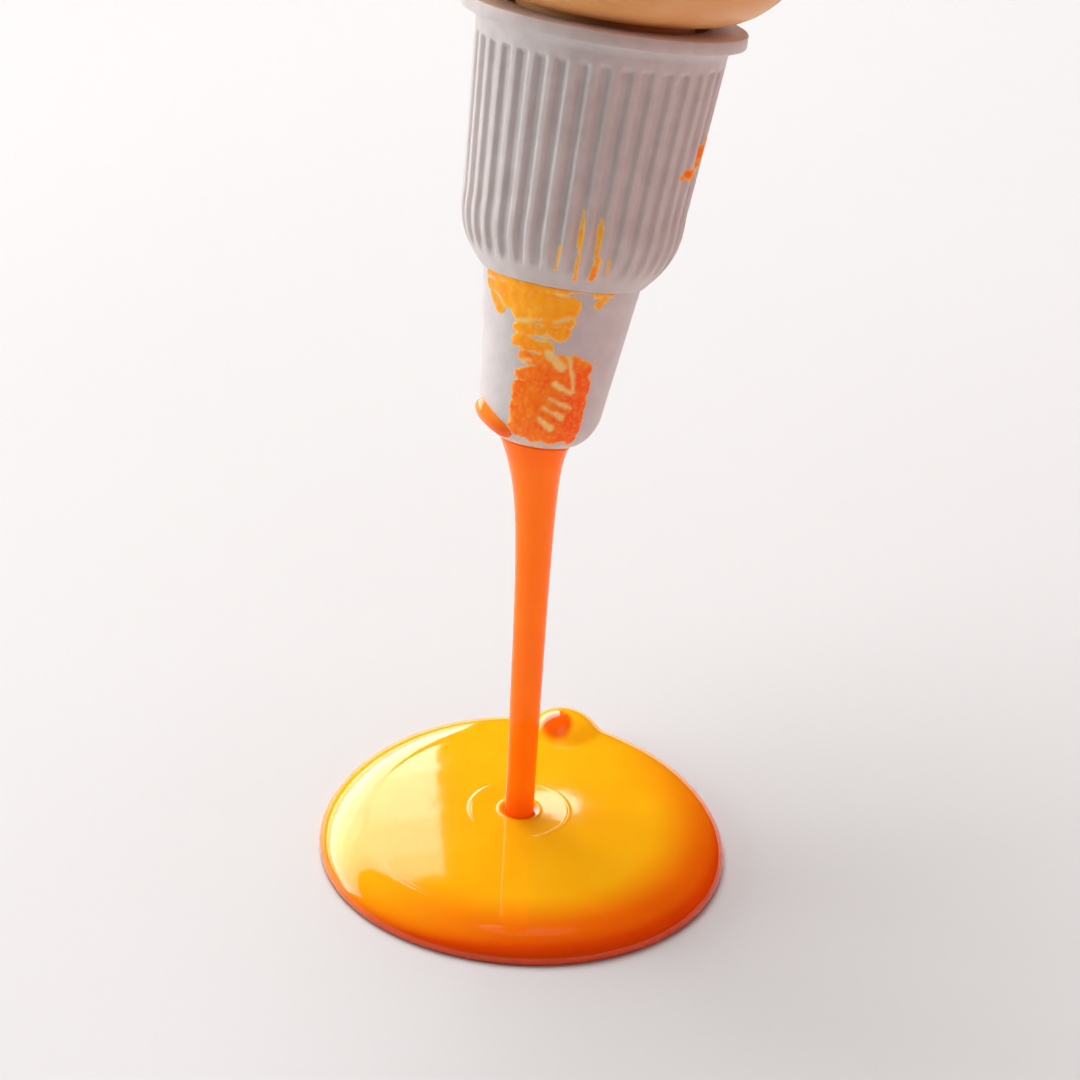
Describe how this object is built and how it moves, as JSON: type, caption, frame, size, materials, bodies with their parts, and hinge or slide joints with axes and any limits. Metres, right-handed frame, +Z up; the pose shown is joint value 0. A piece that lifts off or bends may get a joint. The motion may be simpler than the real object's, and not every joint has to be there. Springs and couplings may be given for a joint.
{
  "type": "squeeze paint bottle, pouring",
  "caption": "Inverted squeeze bottle with a ribbed screw collar and push-pull spout, pouring a paint stream into a round glossy puddle.",
  "frame": {"origin": "where the stream lands, on the underside of the puddle, at table height", "axes": "+Z up from the table, +X to the right and +Y away from the viewer the pour is seen from; the bottle's base leans 19.6 degrees off +Z, mostly towards +Y"},
  "size_m": [0.0752, 0.1184, 0.2581],
  "materials": {
    "closure_plastic": "satin white polypropylene",
    "bottle_plastic": "satin milky polyethylene",
    "liner_foam": "matte",
    "paint": "wet gloss orange"
  },
  "bodies": {
    "closure": {"collar": "closure_plastic", "paint_stream": "paint", "paint_puddle": "paint"},
    "spout": {"spout": "closure_plastic", "spout_smear": "paint", "lip_drip": "paint"},
    "liner": {"liner_wad": "liner_foam"},
    "bottle": {"bottle_neck": "bottle_plastic", "bottle_body": "bottle_plastic", "bottle_foot": "bottle_plastic", "paint_fill": "paint"}
  },
  "joints": [
    {"name": "spout_push_pull", "type": "slide", "parent": "closure", "child": "spout", "axis": [0.1045, 0.3188, 0.9421], "range_m": [0, 0.0035]},
    {"name": "neck_lift", "type": "slide", "parent": "closure", "child": "liner", "axis": [0.1045, 0.3188, 0.9421], "range_m": [0, 0.00635]},
    {"name": "bottle_unscrew", "type": "hinge", "parent": "liner", "child": "bottle", "pos_m": [-0.00076, 0, 0.06744], "axis": [0.1045, 0.3188, 0.9421], "range_deg": [0, 540]}
  ],
  "couplings": [
    {"joint": "neck_lift", "follows": "bottle_unscrew", "m_per_rad": 0.00066845}
  ]
}
